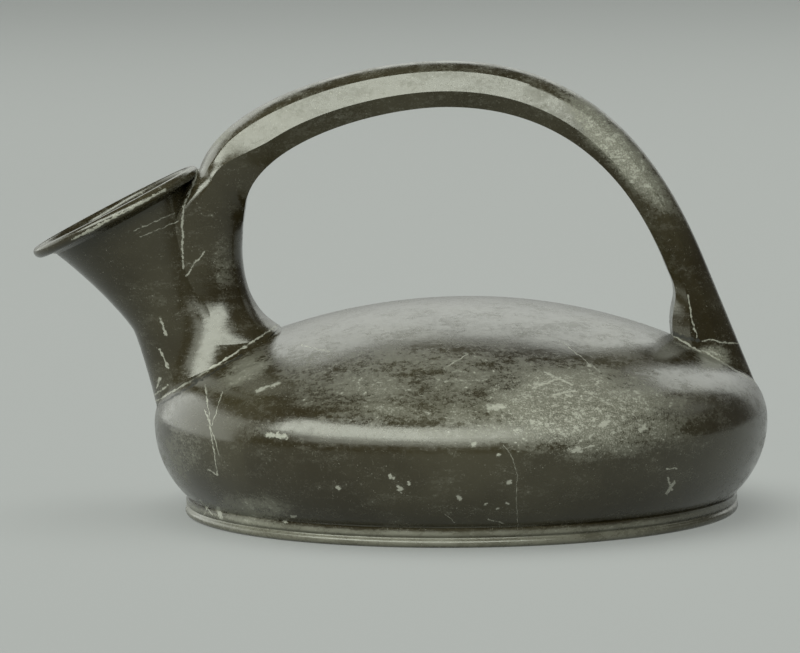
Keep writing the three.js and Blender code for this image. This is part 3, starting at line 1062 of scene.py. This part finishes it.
class GlossMaterial:
    """The black gloss with its wear, painted highlights, reflections and shade, as a node material on
    object coordinates.
    """

    def __init__(self, finish: GlossFinish, wear: WearAndPaintedLightSize) -> None:
        self.finish = finish
        self.wear = wear
        self.material = bpy.data.materials.new("black_gloss_wear_and_painted_light")
        self.material.use_nodes = True
        self.material.node_tree.nodes.clear()
        self.tree = Tree(self.material.node_tree)

    def front(self, point) -> tuple:
        """Place of a point as seen from the front, carried along the sight lines to y = 0.

        Args:
            point: The point, in millimetres.

        Returns:
            The front place as a vector and 1 on the near side, 0 on the far side.
        """
        tree = self.tree
        split = tree.node("ShaderNodeSeparateXYZ", {"Vector": point}).outputs
        near = tree.ramp(split["Y"], *self.wear.near)
        scale = tree.math("DIVIDE", CAMERA_DISTANCE, tree.plus(split["Y"], CAMERA_DISTANCE))
        x = tree.times(split["X"], scale)
        z = tree.plus(tree.times(tree.less(split["Z"], CAMERA_HEIGHT), scale), CAMERA_HEIGHT)
        return tree.node("ShaderNodeCombineXYZ", {"X": x, "Y": z, "Z": 0.0}).outputs[0], near

    @staticmethod
    def stroke_group() -> bpy.types.NodeTree:
        """A node group that measures how far a point is from a straight stroke.

        The point's z holds the least distance found so far, in stroke widths, so that the strokes
        are worked out one after the other.

        Returns:
            The group, with the inputs Point, Middle, Turn, Half and Share and the output Point.
        """
        group = bpy.data.node_groups.new("stroke", "ShaderNodeTree")
        for name in ("Point", "Middle", "Turn", "Half", "Share"):
            group.interface.new_socket(name, in_out="INPUT", socket_type="NodeSocketVector")
        group.interface.new_socket("Point", in_out="OUTPUT", socket_type="NodeSocketVector")
        tree = Tree(group)
        given = tree.node("NodeGroupInput").outputs
        local = tree.node("ShaderNodeMapping", {
            "Vector": given["Point"],
            "Location": given["Middle"],
            "Rotation": given["Turn"],
        }, vector_type="TEXTURE").outputs[0]
        away = tree.vector("SUBTRACT", tree.vector("ABSOLUTE", local), given["Half"])
        away = tree.vector("MAXIMUM", away, (0.0, 0.0, 0.0))
        distance = tree.vector("LENGTH", tree.vector("MULTIPLY", away, given["Share"]))
        found = tree.node("ShaderNodeSeparateXYZ", {"Vector": given["Point"]}).outputs
        least = tree.math("MINIMUM", found["Z"], distance)
        point = tree.node("ShaderNodeCombineXYZ", {"X": found["X"], "Y": found["Y"], "Z": least})
        tree.node("NodeGroupOutput", {"Point": point.outputs[0]})
        return group

    def scar_and_painted_light_mask(self, place, tone: Tone, group: bpy.types.NodeTree, ragged):
        """Mask of all marks of one tone.

        Args:
            place: Front place, a little disturbed, with z = 0.
            tone: Which marks.
            group: The stroke group.
            ragged: Noise that breaks up their edges.

        Returns:
            A number from 0 to 1.
        """
        tree, w = self.tree, self.wear
        point = tree.vector("ADD", place, (0.0, 0.0, w.mark_start))
        for mark in (mark for mark in SCARS_AND_PAINTED_LIGHT if mark.tone is tone):
            row = mark.points
            for x0, y0, x1, y1 in zip(row[::2], row[1::2], row[2::2], row[3::2]):
                stroke = tree.node("ShaderNodeGroup", node_tree=group)
                tree.put(stroke.inputs["Point"], point)
                tree.put(stroke.inputs["Middle"], ((x0 + x1) / 2.0, (y0 + y1) / 2.0, 0.0))
                tree.put(stroke.inputs["Turn"], (0.0, 0.0, math.atan2(y1 - y0, x1 - x0)))
                tree.put(stroke.inputs["Half"], (math.hypot(x1 - x0, y1 - y0) / 2.0, 0.0, 0.0))
                tree.put(stroke.inputs["Share"], (1.0 / mark.width, 1.0 / mark.width, 0.0))
                point = stroke.outputs[0]
        least = tree.node("ShaderNodeSeparateXYZ", {"Vector": point}).outputs["Z"]
        least = tree.plus(least, tree.times(tree.less(ragged, w.mark_middle), w.mark_ragged))
        return tree.ramp(least, *w.mark_edge)

    def patch(self, place, patch: Patch):
        """Mask of a soft oval seen from the front.

        Args:
            place: Front place.
            patch: The oval.

        Returns:
            A number that falls from the patch's amount in the middle to 0 at the edge.
        """
        mapping = self.tree.node("ShaderNodeMapping", {
            "Vector": place,
            "Location": (*patch.centre, 0.0),
            "Rotation": (0.0, 0.0, math.radians(patch.turn)),
            "Scale": (*patch.size, 1.0),
        }, vector_type="TEXTURE")
        away = self.tree.vector("LENGTH", mapping.outputs[0])
        return self.tree.times(self.tree.ramp(away, *self.wear.patch_edge), patch.amount)

    def wear_and_highlights(self, front, near, split):
        """Mask of wear and of painted highlights and reflections: wear in the patches, over the handle's
        crown and on the far side, and painted highlights and reflections in some of the patches.

        Args:
            front: Front place.
            near: 1 on the near side.
            split: Outputs X, Y and Z of the point.

        Returns:
            A number from 0 to 1.
        """
        tree, w = self.tree, self.wear
        wear_and_highlights = 0.0
        for patch in WEAR_AND_HIGHLIGHT_PATCHES:
            wear_and_highlights = tree.most(wear_and_highlights, self.patch(front, patch))
        wear_and_highlights = tree.times(tree.most(wear_and_highlights, tree.ramp(split["Z"], *w.crown)), near)
        return tree.most(wear_and_highlights, tree.ramp(split["Y"], *w.back))

    def layer(self, noise, wear_and_highlights, cloud, layer: Layer):
        """Mask of a layer of wear.

        Args:
            noise: The noise that it follows.
            wear_and_highlights: How much wear there is, with the painted highlights and reflections of
                some patches.
            cloud: The cloudy noise.
            layer: Its levels and amounts.

        Returns:
            A number from 0 to about 1.
        """
        tree = self.tree
        for value, share in ((wear_and_highlights, layer.wear_and_highlights), (cloud, layer.cloud)):
            if share:
                noise = tree.plus(noise, tree.times(value, share))
        amount = layer.amount
        if layer.more:
            amount = tree.plus(tree.times(wear_and_highlights, layer.more), amount)
        return tree.times(tree.ramp(noise, layer.low, layer.high), amount)

    def marks(self, point, front, near, fine) -> tuple:
        """Masks of the light marks, some of them painted highlights, and of the dark marks, which are
        painted shade.

        Args:
            point: The point, in millimetres.
            front: Its front place.
            near: 1 on the near side.
            fine: The fine noise, which breaks up their edges.

        Returns:
            Two numbers from 0 to 1.
        """
        tree, w = self.tree, self.wear
        inputs = dict(Vector=point, Scale=w.wobble_scale, Detail=w.wobble_detail)
        shift = tree.node("ShaderNodeTexNoise", inputs).outputs["Color"]
        wobble = tree.vector("MULTIPLY", tree.vector("SUBTRACT", shift, (0.5, 0.5, 0.5)), w.wobble)
        place = tree.vector("ADD", front, wobble)
        group = self.stroke_group()
        light, dark = (tree.times(self.scar_and_painted_light_mask(place, tone, group, fine), near) for tone in Tone)
        return tree.times(light, w.light_marks), dark

    def build(self) -> bpy.types.Material:
        """Makes the material.

        Returns:
            The material.
        """
        f, w, tree = self.finish, self.wear, self.tree
        place = tree.node("ShaderNodeTexCoord").outputs["Object"]
        scaled = tree.node("ShaderNodeVectorMath", {0: place, "Scale": 1.0 / MM}, operation="SCALE")
        point = scaled.outputs[0]
        split = tree.node("ShaderNodeSeparateXYZ", {"Vector": point}).outputs
        front, near = self.front(point)
        broad, cloud, fine, grit, rings, flaking = (
            tree.noise(point, grain) for grain in (w.broad, w.cloud, w.fine, w.grit, w.rings, w.flaking)
        )
        wear_and_highlights = self.wear_and_highlights(front, near, split)
        veil = tree.plus(tree.times(cloud, w.veil[0]), tree.times(fine, w.veil[1]))
        haze_and_highlight = tree.times(self.layer(veil, wear_and_highlights, cloud, w.haze_and_highlight), tree.ramp(grit, *w.haze_grit))
        specks = self.layer(fine, wear_and_highlights, cloud, w.specks)
        specks = tree.most(specks, self.layer(flaking, wear_and_highlights, cloud, w.flakes))
        specks = tree.most(specks, self.layer(grit, wear_and_highlights, cloud, w.pinholes))
        dust = self.layer(grit, wear_and_highlights, cloud, w.dust)
        light, dark = self.marks(point, front, near, fine)

        # the foot, where the gloss is thin and rubbed through to the clay
        foot = tree.ramp(tree.plus(split["Z"], tree.times(fine, w.foot_ragged)), *w.foot_edge)
        foot = tree.times(foot, tree.ramp(cloud, *w.foot_patches))
        right = tree.node("ShaderNodeSeparateXYZ", {"Vector": front}).outputs["X"]
        foot = tree.times(foot, tree.ramp(right, *w.foot_fade))

        color = tree.mix(tree.ramp(broad, *w.thin), f.gloss, f.thin_gloss)
        # the hazy and the clay colour also paint highlights and reflections in some patches and marks,
        # and the dark colour paints shade in a pit, a gap and a groove
        masks = (haze_and_highlight, foot, dust, specks, light, dark)
        for mask, tone in zip(masks, (f.haze_and_highlight, f.haze_and_highlight, f.clay_and_highlight, f.clay_and_highlight, f.clay_and_highlight, f.dark)):
            color = tree.mix(mask, color, tone)

        roughness = tree.ramp(veil, *w.veil_range, f.smooth, f.rough)
        bared = tree.most(tree.most(specks, light), tree.times(foot, w.foot_rough))
        bared = tree.most(bared, tree.most(dark, haze_and_highlight))
        roughness = tree.plus(roughness, tree.times(tree.less(f.worn_rough, roughness), bared))

        height = tree.plus(tree.times(fine, f.relief), tree.times(rings, f.relief))
        bump = tree.node("ShaderNodeBump", {"Height": height, "Distance": MM})
        shader = tree.node("ShaderNodeBsdfPrincipled", {
            "Base Color": color,
            "Roughness": roughness,
            "IOR": f.ior,
            "Specular Tint": f.sheen_tint,
            "Normal": bump.outputs[0],
        })
        tree.node("ShaderNodeOutputMaterial", {"Surface": shader.outputs[0]})
        return self.material


@dataclass(frozen=True)
class Panel:
    """A curved light panel around the object. Directions in degrees, from the camera towards +X.

    The strength is given at the lower and at the upper edge.
    """

    name: str
    azimuth: Pair
    elevation: Pair
    strength: Pair
    distance: float = 1.3


@dataclass(frozen=True)
class StudioSize:
    """Camera, lights and floor. Metres, and degrees for angles."""

    camera_at: Triple = (-0.000144, -CAMERA_DISTANCE * MM, CAMERA_HEIGHT * MM)
    camera_target: Triple = (-0.000144, 0.0, 0.035)
    camera_roll: float = 0.55
    frame_width: float = 0.152
    sensor_width: float = 36.0  # in millimetres
    clip_end: float = 20.0
    floor_color: Triple = (0.425, 0.450, 0.426)
    floor_across: Pair = (-6.0, 6.0)
    floor_depth: Pair = (-2.0, 14.0)
    floor_count: int = 5
    floor_light: float = 3.10
    shadow: float = 0.30  # share of the floor's light that the jug shades
    sun_size: float = 70.0
    sun_turn: Triple = (-8.0, -14.0, 0.0)
    panel_counts: tuple[int, int] = (25, 7)
    panel_color: Triple = (0.965, 1.0, 0.945)
    world_color: Four = (0.10, 0.10, 0.095, 1.0)
    panels: tuple[Panel, ...] = (
        Panel("window", (-80.0, 30.0), (24.0, 47.0), (7.6, 7.6)),
        Panel("sill", (-62.0, 12.0), (13.0, 24.0), (2.3, 2.3)),
        Panel("left_window", (-150.0, -92.0), (0.0, 30.0), (1.8, 1.8)),
        Panel("back", (142.0, 218.0), (0.0, 40.0), (0.45, 2.0), 3.4),
        Panel("right", (95.0, 120.0), (26.0, 48.0), (0.62, 0.62)),
    )


class Reach(Enum):
    """What a light of the studio falls on."""

    JUG = "jug_only"
    FLOOR = "floor_only"


class Studio:
    """A pale floor, soft light panels and the camera."""

    def __init__(self, size: StudioSize, jug: bpy.types.Object) -> None:
        self.size = size
        self.groups = {reach: bpy.data.collections.new(reach.value) for reach in Reach}
        self.groups[Reach.JUG].objects.link(jug)

    @staticmethod
    def grid(name: str, points: Points, material: bpy.types.Material) -> bpy.types.Object:
        """Makes a stage object from a grid of points.

        Args:
            name: Name of the object.
            points: Rows and columns of points, in metres.
            material: Its material.

        Returns:
            The object, marked as stage.
        """
        rows, columns = points.shape[:2]
        index = np.arange(rows * columns).reshape(rows, columns)
        quads = np.stack([index[:-1, :-1], index[:-1, 1:], index[1:, 1:], index[1:, :-1]], -1)
        made = linked(name, points, quads.reshape(-1, 4).tolist())
        made.data.shade_smooth()
        made.data.materials.append(material)
        return made

    def floor(self) -> None:
        """Builds the wide flat floor and its own even light."""
        s = self.size
        material = bpy.data.materials.new("pale_floor")
        material.use_nodes = True
        shader = material.node_tree.nodes["Principled BSDF"]
        shader.inputs["Base Color"].default_value = (*s.floor_color, 1.0)
        shader.inputs["Roughness"].default_value = 1.0
        shader.inputs["Specular IOR Level"].default_value = 0.0
        edges = (np.linspace(*edge, s.floor_count) for edge in (s.floor_across, s.floor_depth))
        across, depth = np.meshgrid(*edges)
        floor = self.grid("floor", np.stack([across, depth, np.zeros_like(depth)], -1), material)
        self.groups[Reach.FLOOR].objects.link(floor)
        for name, share in (("even_light", 1.0 - s.shadow), ("shadow_light", s.shadow)):
            lamp = bpy.data.lights.new(name, "SUN")
            lamp.energy = s.floor_light * share
            lamp.angle = math.radians(s.sun_size)
            light = bpy.data.objects.new(name, lamp)
            light.rotation_euler = [math.radians(turn) for turn in s.sun_turn]
            bpy.context.scene.collection.objects.link(light)
            light.light_linking.receiver_collection = self.groups[Reach.FLOOR]
            if name == "even_light":
                light.light_linking.blocker_collection = self.groups[Reach.FLOOR]

    def panel(self, panel: Panel) -> None:
        """Builds a curved light panel that falls on the jug.

        Args:
            panel: Its place, size and strength.
        """
        material = bpy.data.materials.new(f"{panel.name}_light")
        material.use_nodes = True
        tree = Tree(material.node_tree)
        material.node_tree.nodes.clear()
        low, high = (panel.distance * math.sin(math.radians(edge)) for edge in panel.elevation)
        place = tree.node("ShaderNodeTexCoord").outputs["Object"]
        level = tree.node("ShaderNodeSeparateXYZ", {"Vector": place}).outputs["Z"]
        strength = tree.ramp(level, low, high, *panel.strength)
        glow = tree.node("ShaderNodeEmission", {"Color": self.size.panel_color, "Strength": strength})
        tree.node("ShaderNodeOutputMaterial", {"Surface": glow.outputs[0]})
        columns, rows = self.size.panel_counts
        side = np.radians(np.linspace(*panel.azimuth, columns))[None, :]
        up = np.radians(np.linspace(*panel.elevation, rows))[:, None]
        points = panel.distance * np.stack([
            np.cos(up) * np.sin(side),
            -np.cos(up) * np.cos(side),
            np.sin(up) * np.ones_like(side),
        ], -1)
        made = self.grid(f"{panel.name}_panel", points, material)
        made.light_linking.receiver_collection = self.groups[Reach.JUG]
        made.visible_shadow = False
        made.visible_camera = False

    def lights(self) -> None:
        """Builds the light panels and the dim surroundings."""
        for panel in self.size.panels:
            self.panel(panel)
        world = bpy.data.worlds.new("studio")
        world.use_nodes = True
        world.node_tree.nodes["Background"].inputs["Color"].default_value = self.size.world_color
        bpy.context.scene.world = world

    def camera(self) -> None:
        """Places the camera at the photograph's angle."""
        s = self.size
        data = bpy.data.cameras.new("camera")
        here, there = Vector(s.camera_at), Vector(s.camera_target)
        gaze = there - here
        data.sensor_fit = "HORIZONTAL"
        data.sensor_width = s.sensor_width
        data.lens = s.sensor_width * gaze.length / s.frame_width
        data.clip_end = s.clip_end
        camera = bpy.data.objects.new("camera", data)
        turn = gaze.to_track_quat("-Z", "Y").to_matrix().to_4x4()
        roll = Matrix.Rotation(math.radians(-s.camera_roll), 4, "Z")
        camera.matrix_world = Matrix.Translation(here) @ turn @ roll
        bpy.context.scene.collection.objects.link(camera)
        bpy.context.scene.camera = camera

    def build(self) -> None:
        """Builds the whole studio."""
        self.floor()
        self.lights()
        self.camera()
        bpy.context.scene.view_settings.view_transform = "Standard"


def main() -> None:
    """Builds the fine jug, its material and the studio, in that order."""
    logging.basicConfig(level=logging.INFO, format="%(message)s")
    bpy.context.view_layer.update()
    jug = Jug().build()
    jug.data.materials.clear()
    jug.data.materials.append(GlossMaterial(GlossFinish(), WearAndPaintedLightSize()).build())
    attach(jug, "root")
    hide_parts("spouted_jug")
    Studio(StudioSize(), jug).build()


if __name__ == "__main__":
    main()
